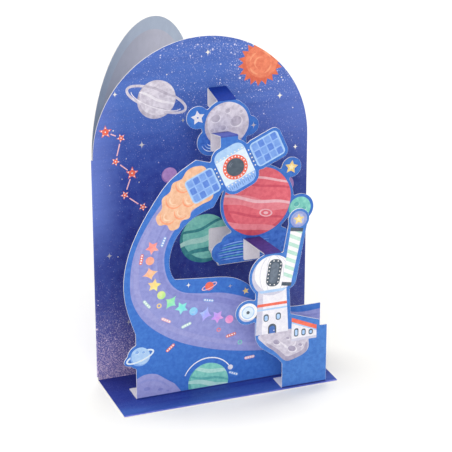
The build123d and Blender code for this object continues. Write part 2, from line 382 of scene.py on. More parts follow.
def paint_sun(art):
    """A sun that the panel's edge cuts."""
    sun = (100.5, 181.0)
    art.add(star(sun, 13.6, 10.4, 18, 4), "orange_deep")
    shaded_disc(art, sun, 10.3, "orange", "orange_deep", 2.2)
    for turn in (20, 110, 200, 290):
        art.line(arc(sun, 6.6, turn, turn + 58), 1.1, "orange_light", 0.9)
    art.line(arc(sun, 3.4, 60, 240), 0.9, "orange_light", 0.9)


def paint_constellation(art):
    """A chain of six stars, joined by lines that stop short of them."""
    chain = [(8.5, 151.0), (17.5, 146.5), (14.0, 133.0), (23.5, 125.0), (19.0, 112.5), (29.5, 104.0)]
    for start, end in zip(chain, chain[1:]):
        gap = 3.4 / dist(start, end)
        art.line([between(start, end, share) for share in (gap, 1 - gap)], 0.7, "rose_light")
    for i, place in enumerate(chain):
        size = 3.9 if i in (0, 3) else 2.7
        turn = 90 + 23 * i
        art.add(star(place, size, 0.44 * size, 5, turn), "coral")
        for dot in star(place, 0.6 * size, 0.6 * size, 5, turn)[::2]:
            art.disc(dot, 0.36, "white")
        art.disc(place, 0.4, "white")


def paint_teal_planet(art):
    """A teal planet seen through the curve, and small moons beyond it."""
    place = (66.5, 79.5)
    body = shaded_disc(art, place, 15.0, "teal", "teal_deep", 1.4)
    rows = [(-6.2, 2.6, 0.9, "teal_deep"), (0.5, 3.4, 0.9, "teal_light"), (7.2, 1.8, 0.9, "teal_deep")]
    stripes(body, place, 14, 31, 1.3, 0.3, rows)
    shaded_disc(art, (45.5, 121.0), 4.6, "plum", "plum_deep", 0.4)
    shaded_disc(art, (116.5, 106.0), 5.4, "plum", "plum_deep", 2.6)
    shaded_disc(art, (101.0, 84.0), 3.4, "peach", "orange", 1.9)


def paint_base(art):
    """A lighter band along the front edge, a painted highlight where the edge rounds over towards the light,
    laid as a brush stroke; and bare card at the spine.
    """
    depth = BASE_FRONT - ARCH_Y
    edge = [(PANEL_WIDTH * i / 24, depth + 0.5 + 0.22 * sin(2.3 * i)) for i in range(25)]
    # The painted highlight along the front edge
    art.line(smooth(edge), 2.2, "front_band")
    art.add(box((0, depth / 2), 0.7, -depth), "card_core")


def paint_page(art):
    """The page to write on, inside its border."""
    art.add(arch(7.6), "page")


# Moon layer and planet layer


def paint_grey_moon(art):
    """A cratered moon over two puffs of cloud, with a star and a sparkle."""
    for puff, size in (((64.5, 143.5), 6.2), ((77.5, 142.0), 6.6)):
        art.add(circle(puff, size, 0.05, size), "cloud_blue")
        for share, ink in ((0.86, "ice"), (0.6, "pale_blue"), (0.34, "ice")):
            art.line(arc(puff, share * size, 200, 340), 0.55, ink, 0.8)
    star_place = (57.0, 158.5)
    art.add(star(star_place, 4.2, 2.2, 5, 96), "moon_pale")
    art.disc(star_place, 0.5, "border_blue")
    moon, radius = (74.1, 152.8), 13.0
    body = shaded_disc(art, moon, radius, "moon_grey", "moon_shade", 0.9)
    places = [(-0.5, 0.32, 0.2), (0.05, 0.6, 0.12), (0.42, 0.1, 0.26), (-0.16, -0.14, 0.13)]
    places += [(0.12, -0.56, 0.2), (-0.66, -0.2, 0.09), (0.66, 0.5, 0.08)]
    craters(body, moon, radius, places, "moon_shade", "moon_pale")
    art.add(sparkle((90.1, 150.4), 2.3), "foil")


def paint_blue_cloud(art):
    """A cloud with pale lines that run through its puffs."""
    puffs = [((71.4, 76.2), 4.8), ((77.0, 80.6), 5.0), ((85.5, 82.5), 6.0), ((94.5, 79.0), 7.6)]
    puffs += [((105.5, 79.0), 6.4)]
    art.add(box((89.0, 75.0), 36.0, 9.0, 1.5), "cloud_blue")
    for puff, size in puffs:
        art.add(circle(puff, size, 0.06, size), "cloud_blue")
    for i in range(7):
        run = [(68.2 + abs(i - 2.4), 71.4 + 1.45 * i), (82.0, 71.8 + 1.6 * i), (100.0, 71.3 + 1.55 * i)]
        art.line(smooth(run), 0.55, "teal_mid" if i % 2 else "wing_blue", 0.8)


def paint_banded_planet(art):
    """A large red planet with bands and an oval storm."""
    planet, tilt = (92.6, 104.6), -13
    body = shaded_disc(art, planet, 20.6, "red", "red_deep", 0.2)
    rows = [
        (-15.6, 3.6, 0.5, "rose"),
        (-8.6, 1.6, 0.7, "red_deep"),
        (-1.2, 6.4, 0.9, "rose"),
        (0.6, 1.9, 0.8, "rose_light"),
        (9.8, 1.5, 0.5, "red_deep"),
        (13.8, 1.4, 0.4, "rose_light"),
    ]
    stripes(body, planet, tilt, 43, 1.4, 0.25, rows, 0.7)
    storm = spot(planet, 7.0, -6.4, tilt)
    for size, ink in ((4.1, "rose_light"), (3.1, "red"), (1.5, "rose_light")):
        body.add(oval(storm, size, 0.56 * size, tilt), ink)


def paint_small_moon(art):
    """A small moon and a star."""
    moon, radius = (119.0, 97.0), 6.8
    body = shaded_disc(art, moon, radius, "teal", "teal_mid", 2.0)
    places = [(-0.3, 0.35, 0.24), (0.4, -0.1, 0.2), (-0.1, -0.5, 0.17)]
    craters(body, moon, radius, places, "teal_mid", "teal_light")
    for outer, ink in ((4.2, "yellow"), (2.0, "yellow_light")):
        art.add(star((113.5, 122.5), outer, outer / 2, 5, 82), ink)


# Sweep layer

BAND_UPPER = [(127, 39.5), (112, 39.2), (96, 44.5), (82, 52.5), (66, 58.5), (51, 60.5)]
BAND_UPPER += [(40, 63.5), (32.8, 72), (31, 86), (36, 99), (45, 108), (54, 115)]
BAND_LOWER = [(127, 17), (104, 17.5), (80, 20), (58, 25), (37, 33.5), (20.5, 46)]
BAND_LOWER += [(12.2, 60), (10.8, 74), (13.6, 90), (21.5, 106), (33, 121), (46, 133)]
LIGHTS_LINE = [(24.0, 92), (22.2, 79), (26.5, 66), (37, 55.5), (50, 49), (69.5, 41.5)]

# Each strip of confetti: its centre, tilt and ink
CONFETTI = [
    ((17.6, 86.0), 78, "coral"),
    ((30.6, 94.6), 66, "pale_blue_deep"),
    ((20.3, 58.5), -52, "mint"),
    ((31.5, 47.0), -30, "rose_light"),
    ((43.5, 42.0), 20, "mint"),
    ((57.0, 55.3), -14, "pale_blue_deep"),
    ((70.5, 31.5), 12, "coral"),
    ((33.8, 29.5), 40, "coral"),
    ((82.0, 15.5), 4, "rose_light"),
    ((72.0, 7.0), -24, "pale_blue_deep"),
    ((120.5, 31.0), 70, "mint"),
    ((87.5, 47.0), -34, "rose_light"),
]


def paint_band(art):
    """The lavender band, with brush strokes of a deeper tone."""
    band = art.add(smooth(BAND_UPPER) + smooth(BAND_LOWER[::-1]), "lavender")
    strokes = [(0.16, 3.2, "lavender_light"), (0.86, 3.6, "lavender_deep"), (0.6, 1.6, "lavender_deep")]
    for share, width, ink in strokes:
        middle = [between(low, high, share) for low, high in zip(BAND_LOWER, BAND_UPPER)]
        band.line(smooth(middle), width, ink, 0.75)


def paint_peach_cloud(art):
    """A cloud where the band meets the satellite."""
    cloud = [(56, 134), (50, 136.4), (44.6, 134.4), (41.6, 130.2), (36.4, 128.2), (34.6, 123.4), (30.2, 120)]
    cloud += [(29.8, 114.2), (26.4, 109.6), (28.0, 104.8), (32.4, 104.4), (34.8, 100.8), (39.4, 101.6)]
    cloud += [(41.2, 105.6), (45.8, 106.6), (47.4, 110.8), (53, 113.6), (60, 118)]
    body = art.add(smooth(cloud, True), "peach")
    puffs = [((33.4, 109.2), 4.4), ((37.2, 118.4), 4.8), ((42.6, 126.6), 4.4)]
    puffs += [((41.0, 110.6), 3.8), ((45.8, 117.2), 3.6)]
    for puff, size in puffs:
        body.line(arc(puff, size, 150, 330), 0.9, "orange_light", 0.9)
        body.line(arc(puff, 0.55 * size, 130, 300), 0.8, "peach_light", 0.9)


def paint_lights(art):
    """A row of stars and dots that pass through the colours of the rainbow."""
    for i, (place, heading) in enumerate(along(smooth(LIGHTS_LINE), 11)):
        outlines = (star(place, 4.1, 2.1, 5, heading), circle(place, 2.5), sparkle(place, 4.8, 1.45, heading))
        art.add(outlines[i % 3], "rainbow")


def paint_satellite(art):
    """Two solar wings and a round-cornered body with a porthole."""
    centre, tilt = (73.0, 133.0), 24
    wing_width, wing_height, reach = 18.0, 15.5, 20.9
    seam = 7.6

    def put(x, z):
        return spot(centre, x, z, tilt)

    art.add(box(centre, 2 * reach, 5.0, 0, tilt), "steel_blue")
    for side in (-1, 1):
        middle = put(side * reach, 0)
        wing = art.add(box(middle, wing_width, wing_height, 2.5, tilt), "pale_blue")
        wing.add(box(middle, wing_width - 1.6, wing_height - 1.6, 1.7, tilt), "wing_blue")
        for i in range(4):
            for k in range(3):
                cell = put(side * reach + 4.05 * (i - 1.5), 4.75 * (k - 1))
                ink = "wing_blue_deep" if (i + k) % 2 else "wing_blue_light"
                wing.add(box(cell, 3.3, 4.0, 0.5, tilt), ink)
        edge = side * (reach - wing_width / 2 - 1.1)
        dotted(art, [put(edge, -5.0), put(edge, 5.0)], 5, 0.46, "foil")

    # Body, with a seam above and below the porthole
    body = art.add(box(centre, 19.0, 26.0, 5.0, tilt), "ice")
    body.add(box(put(0, seam + 4), 22, 8, 0, tilt), "pale_blue")
    body.add(box(put(0, -seam - 4), 22, 8, 0, tilt), "wing_blue")
    for i in range(13):
        x = 1.3 * (i - 6)
        body.line([put(x, -seam - 1.8), put(x, -seam - 4.4 + 0.5 * (i % 3))], 0.3, "steel_blue")
    for up in (-seam - 0.8, seam + 0.8):
        dotted(art, [put(-8.0, up), put(8.0, up)], 8, 0.46, "foil")
    body.add(circle(centre, 7.3, 0.06, 1.0), "coral")
    pane = body.disc(centre, 5.3, "charcoal")
    dotted(art, arc(centre, 6.3, 0, 342), 20, 0.42, "white")
    for size in (3.9, 2.9):
        pane.line(arc(centre, size, 118, 176), 0.6, "charcoal_light", 0.8)


def paint_small_things(art):
    """Confetti, small rings, a coral planet and stars over the band."""
    for centre, tilt, ink in CONFETTI:
        confetti(art, centre, tilt, ink)
    rings = [((27.5, 56.5), 1.5, "yellow"), ((76.0, 26.0), 1.4, "teal"), ((63.0, 36.0), 1.3, "rose")]
    for place, radius, ink in rings:
        art.disc(place, radius, ink)
        art.disc(place, 0.55 * radius, "lavender")
    ringed(art, (57.5, 63.9), 2.6, 20, ("coral", "red"), "rose_light", 4.55, 0.3, 0.55)
    art.add(sparkle((45.0, 66.4), 2.0), "foil")
    art.add(sparkle((70.0, 62.0), 1.7), "foil")
    art.add(star((79.5, 57.6), 2.2, 1.0, 5, 100), "yellow")


def paint_ringed_moon(art):
    """A blue moon at the lower left, with dots along the front of its ring."""
    moon, radius, tilt = (15.8, 27.0), 5.8, 18
    reach = 8.2
    flat = 2.6 / reach
    body = ringed(art, moon, radius, tilt, ("pale_blue", "pale_blue_deep"), "ice", reach, flat, 1.0, 1.1)
    dotted(art, arc(moon, reach, 196, 344, flat, tilt), 7, 0.34, "foil")
    craters(body, moon, radius, [(-0.3, 0.5, 0.2), (0.35, 0.42, 0.16)], "pale_blue_deep", "ice")


def paint_hill(art):
    hill = [(12, 0), (12, 12.5), (18, 15.2), (25, 14.6), (31, 10.4), (36, 6.8), (41, 0)]
    body = art.add(hill[:1] + smooth(hill[1:-1]) + hill[-1:], "lavender_light")
    body.line(smooth([(13, 9.5), (19, 11.6), (26, 10.4), (33, 5.4)]), 1.5, "lavender", 0.8)
    for place, size in (((19.5, 6.2), 1.9), ((27.5, 4.6), 1.5), ((32.0, 3.0), 0.9)):
        body.add(oval(place, size, 0.62 * size), "lavender_deep")


def paint_low_planet(art):
    """A planet that rises at the bottom, with a moon on its arc."""
    place = (56.5, 4.0)
    body = shaded_disc(art, place, 12.2, "teal", "teal_mid", 0.6)
    rows = [(7.6, 2.4, 0.6, "teal_light"), (2.6, 1.5, 0.6, "teal_mid"), (-0.6, 2.8, 0.6, "teal_light")]
    stripes(body, place, -12, 25, 1.2, 0.4, rows)
    art.line(arc(place, 15.4, 24, 156), 0.7, "white", 0.3)
    art.disc((70.2, 11.2), 1.6, "moon_pale")


# Observatory layer


def paint_rock(art):
    """The rock that the tower stands on."""
    rock = [(82.2, 36.4), (84.4, 30.4), (91.2, 24.4), (97.6, 17.8), (104, 18.4), (110.5, 21.5)]
    rock += [(112, 27), (108, 36.4)]
    body = art.add(smooth(rock, True), "rock")
    for share, ink, width in ((0.9, "rock_shade", 3.2), (0.35, "rock_light", 1.4)):
        body.line(smooth([between((99.5, 30), place, share) for place in rock[1:-1]]), width, ink, 0.7)
    for x, z, size in ((92.0, 30.4, 2.1), (101.6, 24.8, 2.6), (106.8, 26.4, 1.3), (99.0, 31.8, 1.1)):
        body.add(oval((x + 0.3, z - 0.4), 1.16 * size, 0.8 * size, -24), "rock_light")
        body.add(oval((x, z), size, 0.66 * size, -24), "rock_shade")


def paint_annex(art):
    """The annex and its lean-to roof."""
    left, right, foot = 101.3, 116.8, 29.2
    eave, ridge = 37.2, 44.0
    annex = art.add([(left, foot), (right, foot), (right, eave), (left, ridge)], "chalk")
    for top, bottom, ink in ((0.0, 2.6, "coral"), (2.6, 3.5, "pale_blue")):
        low = [(left, ridge - bottom), (right, eave - bottom)]
        annex.add([*low, (right, eave - top), (left, ridge - top)], ink)
    annex.add(box(((left + right) / 2, foot + 0.8), right - left, 1.6), "chalk_shade")
    for i in range(3):
        tall = 5.2 - 0.9 * i
        place = (104.2 + 4.5 * i, 31.8 + tall / 2)
        opening(annex, place, (2.7, tall, 1.2), (1.6, tall - 1.5, 0.7), "pale_blue", 0.1)


def paint_dish(art):
    dish = (74.6, 51.5)
    art.line([(77.0, 49.4), (84.0, 45.6)], 1.6, "charcoal")
    shaded_disc(art, dish, 5.6, "white", "chalk_shade", 0.8)
    for radius, ink in ((3.9, "pale_blue"), (3.3, "ice"), (1.0, "charcoal")):
        art.disc(dish, radius, ink)
    dotted(art, arc(dish, 4.7, 0, 330), 12, 0.3, "foil")


def paint_tower(art):
    """The tower, shaded on its left, with two bands, two windows and a door."""
    foot, top = 36.4, 68.0
    body = art.add([(79.2, foot), (99.2, foot), (97.45, top), (80.95, top)], "chalk")
    body.add([(79.2, foot), (83.0, foot), (83.9, top), (80.95, top)], "chalk_shade")
    body.add(box((89.2, 54.4), 22, 1.7), "coral")
    body.add(box((89.2, 51.6), 22, 1.0), "pale_blue")
    for x in (85.6, 93.0):
        opening(body, (x, 46.4), (3.2, 4.6, 1.5), (2.0, 3.2, 0.9), "pale_blue", 0.2)
    opening(body, (89.3, 38.3), (5.0, 8.0, 2.4), (3.4, 6.6, 1.6), "steel_blue", 0.6)
    body.disc((90.4, 38.0), 0.35, "foil")


def paint_roof(art):
    """The round roof, with fine seams and an open slit."""
    roof, radius = (89.2, 72.0), 12.2
    body = shaded_disc(art, roof, radius, "white", "chalk_shade", 1.6)
    for bow in (-0.62, -0.3, 0.55, 0.8):
        angles = [radians(a) for a in range(-80, 81, 16)]
        seam = [(roof[0] + bow * radius * cos(a), roof[1] + radius * sin(a)) for a in angles]
        body.line(seam, 0.3, "chalk_shade")
    body.add(box((roof[0], 62.6), 30, 1.6), "pale_blue")
    slit, tilt = (90.2, 73.4), -9
    opening(body, slit, (8.4, 16.4, 3.6), (4.6, 12.6, 2.2), "charcoal_light", 0.0, tilt)
    for x in (-3.25, 3.25):
        dotted(art, turned([(x, -5.4), (x, 5.4)], slit, tilt), 6, 0.4, "white")
    for z in (7.1, -7.1):
        dotted(art, turned([(-1.3, z), (1.3, z)], slit, tilt), 2, 0.4, "white")


def paint_telescope(art):
    """A striped telescope that points at a star."""
    foot, tip = (98.2, 68.0), (104.7, 103.6)
    lean = degrees(atan2(tip[1] - foot[1], tip[0] - foot[0]))

    def put(share, side):
        return spot(between(foot, tip, share), 0, side, lean)

    def cuff(start, end, half):
        art.add([put(start, -half), put(start, half), put(end, half), put(end, -half)], "charcoal")

    art.add(circle(tip, 4.9, 0.08, 1.0), "halo")
    art.add(circle(tip, 3.3, 0.08, 2.0), "halo_light")
    tube = art.add([put(-0.06, -2.7), put(-0.06, 2.7), put(0.84, 3.7), put(0.84, -3.7)], "white")
    for i in range(7):
        share = 0.03 + 0.125 * i
        stripe = [put(share - 0.02, -4), put(share + 0.045, 4), put(share + 0.105, 4), put(share + 0.04, -4)]
        tube.add(stripe, "mint")
    cuff(-0.1, -0.04, 3.0)
    cuff(0.8, 0.86, 3.8)
    for outer, inner, ink in ((3.5, 1.6, "yellow"), (1.7, 0.8, "yellow_light")):
        art.add(star(tip, outer, inner, 5, 90), ink)


# Inks and card


def rgb(red, green, blue):
    """A colour given as 0 to 255, as a shader takes it."""
    shares = [value / 255 for value in (red, green, blue)]
    return (*(s / 12.92 if s <= 0.04045 else ((s + 0.055) / 1.055) ** 2.4 for s in shares), 1.0)


class Nodes:
    """A short way to add nodes to a material or a world. Colours are given as 0 to 255."""

    def __init__(self, tree):
        self.tree = tree

    def set(self, node, key, value):
        """Sets an input to a number or a colour, or links it to an output."""
        if isinstance(value, bpy.types.NodeSocket):
            self.tree.links.new(value, node.inputs[key])
        else:
            node.inputs[key].default_value = rgb(*value) if isinstance(value, tuple) else value

    def add(self, kind, inputs=(), **settings):
        node = self.tree.nodes.new(kind)
        for key, value in settings.items():
            setattr(node, key, value)
        for key, value in dict(inputs).items():
            self.set(node, key, value)
        return node

    def math(self, operation, a, b):
        return self.add("ShaderNodeMath", {0: a, 1: b}, operation=operation).outputs[0]

    def times(self, a, b):
        return self.math("MULTIPLY", a, b)

    def fit(self, value, low, high, to_low=0.0, to_high=1.0):
        """A value's place between two limits, held within the two limits of the result."""
        inputs = {"Value": value, "From Min": low, "From Max": high, "To Min": to_low, "To Max": to_high}
        return self.add("ShaderNodeMapRange", inputs, clamp=True).outputs["Result"]


class Shader(Nodes):
    """A new material and its colour so far. Its patterns lie in the part's own millimetres."""

    def __init__(self, name, colour=None):
        self.colour = colour
        self.material = bpy.data.materials.new(name)
        self.material.use_nodes = True
        super().__init__(self.material.node_tree)
        self.surface = self.tree.nodes["Principled BSDF"]
        place = self.add("ShaderNodeTexCoord").outputs["Object"]
        scaled = {0: place, "Scale": 1 / MM}
        self.place = self.add("ShaderNodeVectorMath", scaled, operation="SCALE").outputs[0]

    def axes(self):
        """The place's three coordinates."""
        return tuple(self.add("ShaderNodeSeparateXYZ", {0: self.place}).outputs)

    def stretched(self, x, y, z):
        """The place in millimetres, with each axis scaled."""
        node = self.add("ShaderNodeVectorMath", {0: self.place}, operation="MULTIPLY")
        node.inputs[1].default_value = (x, y, z)
        return node.outputs[0]

    def noise(self, size, detail=3.0, vector=None, distortion=0.0):
        """Noise with features of about this size in millimetres, from 0 to 1."""
        place = vector or self.place
        inputs = {"Vector": place, "Scale": 1 / size, "Detail": detail, "Distortion": distortion}
        return self.add("ShaderNodeTexNoise", inputs).outputs["Fac"]

    def mix(self, share, a, b, blend="MIX"):
        """Two colours mixed. Inputs 6 and 7, and output 2, are the node's sockets for colours."""
        node = self.add("ShaderNodeMix", data_type="RGBA", blend_type=blend)
        for key, value in ((0, share), (6, a), (7, b)):
            self.set(node, key, value)
        return node.outputs[2]

    def ramp(self, value, stops):
        """A colour that runs through stops, each a place from 0 to 1 and a colour."""
        node = self.add("ShaderNodeValToRGB", {"Fac": value})
        elements = node.color_ramp.elements
        while len(elements) < len(stops):
            elements.new(0.5)
        for element, (place, colour) in zip(elements, stops):
            element.position = place
            element.color = rgb(*colour)
        return node.outputs["Color"]

    def wash(self, share, tone):
        """Covers the colour so far with a share of another."""
        self.colour = self.mix(share, self.colour, tone)

    def finish(self, grain=0.0, roughness=0.62, tooth=0.03, metallic=0.0):
        """Sets the surface: a matt sheet with the tooth of card, and the fine grain of ink on it."""
        if grain:
            fine = self.fit(self.noise(0.22, 2.0), 0.3, 0.7, 1 - grain, 1 + grain)
            tone = self.add("ShaderNodeCombineColor", {"Red": fine, "Green": fine, "Blue": fine}).outputs[0]
            self.colour = self.mix(1.0, self.colour, tone, "MULTIPLY")
        self.set(self.surface, "Base Color", self.colour)
        uneven = self.fit(self.noise(1.4), 0.3, 0.7, roughness - 0.07, roughness + 0.07)
        self.set(self.surface, "Roughness", uneven)
        self.surface.inputs["Metallic"].default_value = metallic
        self.surface.inputs["Specular IOR Level"].default_value = 0.32
        bump = {"Height": self.noise(0.16, 3.0), "Strength": 0.5, "Distance": tooth * MM}
        self.set(self.surface, "Normal", self.add("ShaderNodeBump", bump).outputs[0])
        return self.material


def ink(name, light, dark):
    """Flat printed ink with the soft blotches of watercolour."""
    shader = Shader(name, dark)
    shader.wash(shader.fit(shader.noise(2.4, 4.0, distortion=0.4), 0.34, 0.66), light)
    return shader.finish(grain=0.08)


def page_with_painted_shade(name, light, dark, reach):
    """A pale printed page in tones set a little dark as painted shade, with more painted shade in grey blue
    that deepens towards the spine over a reach in millimetres.
    """
    shader = Shader(name, dark)
    across, _, _ = shader.axes()
    shader.wash(shader.fit(shader.noise(6.0, 3.0), 0.34, 0.66), light)
    # Painted shade: grey blue towards the spine, where the rear panel stands in the arch's shade
    shader.wash(shader.fit(across, SPINE_X, SPINE_X + reach, 0.74, 0.0), (90, 112, 144))
    return shader.finish(grain=0.04)


def foil():
    """Silver foil, a little warm and unevenly pressed."""
    shader = Shader("foil", (232, 226, 214))
    shader.wash(shader.noise(1.1), (250, 248, 244))
    return shader.finish(roughness=0.34, tooth=0.02, metallic=1.0)


def rainbow():
    """Pearly foil whose colour runs on along the row of lights, from coral to pink, with pale blotches of
    painted sheen.
    """
    shader = Shader("rainbow")
    across, _, up = shader.axes()
    (first_x, first_z), (last_x, last_z) = LIGHTS_LINE[0], LIGHTS_LINE[-1]
    start, end = SPINE_X + first_x - first_z, SPINE_X + last_x - last_z
    tones = [(255, 146, 138), (255, 186, 140), (248, 236, 122), (150, 238, 160)]
    tones += [(128, 236, 226), (130, 196, 252), (190, 152, 252), (255, 152, 212)]
    stops = [(i / (len(tones) - 1), tone) for i, tone in enumerate(tones)]
    shader.colour = shader.ramp(shader.fit(shader.math("SUBTRACT", across, up), start, end), stops)
    # Pale blotches: painted sheen on the foil
    shader.wash(shader.fit(shader.noise(1.6), 0.35, 0.7, 0.0, 0.22), (255, 250, 252))
    return shader.finish(grain=0.04, roughness=0.4, tooth=0.02, metallic=0.15)


def card_white(name, light, dark):
    """Bare card stock, with faint fibres."""
    shader = Shader(name, dark)
    fibres = shader.noise(0.7, 4.0, shader.stretched(1.0, 1.0, 0.45), 0.6)
    shader.wash(shader.fit(fibres, 0.3, 0.7), light)
    return shader.finish(grain=0.03, roughness=0.74, tooth=0.04)


def card_core():
    """The cut edge of the card, with the layers that it is pressed from."""
    shader = Shader("card_core", (222, 216, 214))
    layers = shader.noise(0.3, 3.0, distortion=1.0)
    shader.wash(shader.fit(layers, 0.3, 0.7), (250, 248, 244))
    return shader.finish(roughness=0.82, tooth=0.05)


def speckles(shader, size, largest, density):
    """Small specks of spattered paint, one in each cell, that vary in size with the density."""
    inputs = {"Vector": shader.place, "Scale": 1 / size, "Randomness": 1.0}
    cells = shader.add("ShaderNodeTexVoronoi", inputs)
    chance = shader.add("ShaderNodeSeparateColor", {"Color": cells.outputs["Color"]}).outputs[0]
    reach = shader.times(shader.math("POWER", chance, 2.6), largest / size)
    edge = shader.math("SUBTRACT", shader.times(reach, density), cells.outputs["Distance"])
    return shader.fit(edge, 0.0, 0.05 / size)


def night_wash_and_painted_light(shader, across, up):
    """Washes of night blue over the panel's height, darkest at middle height in print and painted shade, and
    paler along its edges in painted light.
    """
    wash = shader.noise(30.0, 4.0, shader.stretched(0.35, 0.35, 1.6), 0.8)
    height = shader.math("ADD", shader.times(up, 1 / PANEL_HEIGHT), shader.fit(wash, 0, 1, -0.09, 0.09))
    # The dark stops at middle height are partly painted shade, where the layers in front shade the panel
    stops = [
        (0.0, (50, 56, 142)),
        (0.2, (43, 54, 138)),
        (0.45, (32, 48, 136)),
        (0.6, (36, 58, 148)),
        (0.72, (56, 86, 172)),
        (0.84, (74, 110, 192)),
        (1.0, (82, 116, 198)),
    ]
    shader.colour = shader.ramp(height, stops)
    # Painted light: paler blue along the spine edge and higher up towards the open edge, where the layers in
    # front don't shade the panel
    left = shader.times(shader.fit(across, -47.0, -63.0), shader.fit(up, 66.0, 104.0, 0.1, 1.0))
    right = shader.times(shader.fit(across, 10.0, 60.0), shader.fit(up, 110.0, 145.0, 0.1, 0.6))
    shader.wash(shader.math("MAXIMUM", left, right), (102, 124, 204))
    streaks = shader.noise(14.0, 5.0, shader.stretched(0.25, 0.25, 2.2), 0.5)
    shader.wash(shader.fit(streaks, 0.45, 0.75, 0.0, 0.35), (34, 48, 136))
    shader.wash(shader.fit(shader.noise(3.4, 4.0), 0.35, 0.65, 0.0, 0.17), (92, 122, 204))


def night_sky():
    """The night wash with its painted light and shade, a mauve glow at the foot towards the spine, and
    spattered stars.
    """
    shader = Shader("night_sky")
    across, _, up = shader.axes()
    night_wash_and_painted_light(shader, across, up)
    low = shader.fit(up, 2.0, 66.0, 1.0, 0.0)
    left = shader.fit(across, -65.0, 10.0, 1.0, 0.35)
    glow = shader.times(shader.times(low, low), left)
    shader.wash(shader.times(glow, 0.66), (138, 128, 184))

    # The stars are thickest at the top towards the open edge, and in the glow
    high = shader.times(shader.fit(up, 104.0, 190.0, 0.1, 1.0), shader.fit(across, -62.0, 20.0, 0.4, 0.9))
    cloudy = shader.fit(shader.noise(17.0, 3.0), 0.34, 0.6, 0.62, 1.05)
    foot = shader.fit(shader.times(shader.fit(up, 6.0, 76.0, 1.0, 0.0), left), 0.0, 1.0, 0.0, 1.2)
    density = shader.math("MAXIMUM", shader.times(high, cloudy), foot)
    tint = shader.mix(foot, (222, 220, 242), (224, 200, 222))
    spatter = shader.math("ADD", shader.noise(0.55, 1.0), shader.times(density, 0.145))
    shader.wash(shader.fit(spatter, 0.7, 0.86, 0.0, 0.5), tint)
    dust = shader.math("ADD", shader.noise(0.6, 1.0), shader.times(glow, 0.14))
    shader.wash(shader.times(shader.fit(dust, 0.61, 0.7), shader.fit(glow, 0.02, 0.4, 0.0, 0.55)), tint)
    sparse = shader.times(density, shader.fit(foot, 0.2, 1.2, 1.0, 0.7))
    for size, largest, share in ((1.3, 0.6, 0.75), (2.2, 0.8, 0.9), (3.8, 1.1, 0.95)):
        shader.wash(shader.times(speckles(shader, size, largest, sparse), share), tint)
    return shader.finish(grain=0.07)


def night_base():
    """Navy that lightens a little towards the front edge, in long brush strokes."""
    shader = Shader("night_base")
    _, deep, _ = shader.axes()
    wash = shader.noise(12.0, 4.0, shader.stretched(0.2, 1.6, 1.0), 0.6)
    share = shader.math("ADD", shader.fit(deep, ARCH_Y, BASE_FRONT), shader.fit(wash, 0.3, 0.7, -0.16, 0.16))
    shader.colour = shader.ramp(share, [(0.0, (28, 38, 124)), (0.6, (34, 54, 146)), (1.0, (56, 93, 177))])
    dust = shader.math("ADD", shader.noise(0.4, 1.0), shader.fit(shader.noise(14.0), 0.4, 0.7, 0.0, 0.08))
    shader.wash(shader.fit(dust, 0.62, 0.82, 0.0, 0.45), (120, 136, 214))
    return shader.finish(grain=0.08)


# Each plain ink, as its light and its dark tone
PLAIN_INKS = {
    "border_blue": ((67, 125, 209), (55, 109, 199)),
    "block_blue": ((79, 134, 211), (63, 116, 198)),
    "cloud_blue": ((70, 124, 214), (44, 92, 190)),
    "steel_blue": ((88, 128, 200), (70, 108, 184)),
    "wing_blue": ((158, 194, 246), (140, 178, 240)),
    "wing_blue_light": ((132, 172, 238), (114, 154, 228)),
    "wing_blue_deep": ((104, 146, 228), (90, 130, 216)),
    "pale_blue": ((186, 216, 248), (164, 200, 242)),
    "pale_blue_deep": ((148, 188, 240), (126, 168, 230)),
    "ice": ((232, 243, 252), (214, 232, 248)),
    "lavender": ((155, 160, 218), (141, 146, 209)),
    "lavender_light": ((163, 166, 220), (150, 152, 211)),
    "lavender_deep": ((144, 149, 211), (130, 135, 201)),
    "white": ((252, 251, 252), (244, 243, 248)),
    "chalk": ((246, 244, 250), (234, 232, 243)),
    "chalk_shade": ((218, 216, 232), (200, 200, 222)),
    "moon_grey": ((230, 224, 236), (198, 190, 206)),
    "moon_pale": ((244, 240, 246), (228, 222, 234)),
    "moon_shade": ((206, 198, 214), (174, 166, 184)),
    "rock": ((218, 212, 226), (192, 185, 203)),
    "rock_light": ((238, 234, 242), (222, 216, 230)),
    "rock_shade": ((182, 174, 196), (160, 152, 178)),
    "charcoal": ((90, 102, 116), (74, 86, 100)),
    "charcoal_light": ((118, 130, 146), (98, 110, 126)),
    "red": ((238, 118, 130), (226, 98, 114)),
    "red_deep": ((222, 92, 110), (208, 80, 100)),
    "rose": ((242, 144, 154), (232, 126, 138)),
    "rose_light": ((248, 198, 204), (242, 180, 190)),
    "coral": ((248, 124, 100), (236, 104, 86)),
    "orange": ((246, 144, 108), (230, 120, 90)),
    "orange_deep": ((236, 122, 90), (220, 104, 78)),
    "orange_light": ((252, 170, 130), (244, 150, 114)),
    "peach": ((248, 202, 168), (238, 180, 144)),
    "peach_light": ((253, 222, 196), (248, 206, 174)),
    "yellow": ((250, 224, 150), (242, 206, 124)),
    "yellow_light": ((254, 242, 200), (250, 232, 176)),
    "mint": ((206, 238, 226), (186, 226, 212)),
    "teal": ((148, 222, 206), (118, 202, 190)),
    "teal_light": ((196, 238, 226), (172, 226, 214)),
    "teal_mid": ((112, 196, 188), (90, 176, 174)),
    "teal_deep": ((74, 158, 160), (50, 128, 140)),
    "plum": ((190, 150, 208), (172, 130, 196)),
    "plum_deep": ((160, 120, 188), (142, 104, 176)),
    "halo": ((158, 170, 222), (140, 152, 212)),
    "halo_light": ((186, 192, 228), (170, 178, 222)),
    # A painted highlight along the base's front edge
    "front_band": ((118, 128, 216), (94, 106, 204)),
    "strut_blue": ((2, 50, 150), (0, 42, 136)),
    "strut_indigo": ((76, 90, 172), (60, 72, 156)),
    "strut_purple": ((70, 56, 142), (56, 46, 128)),
}

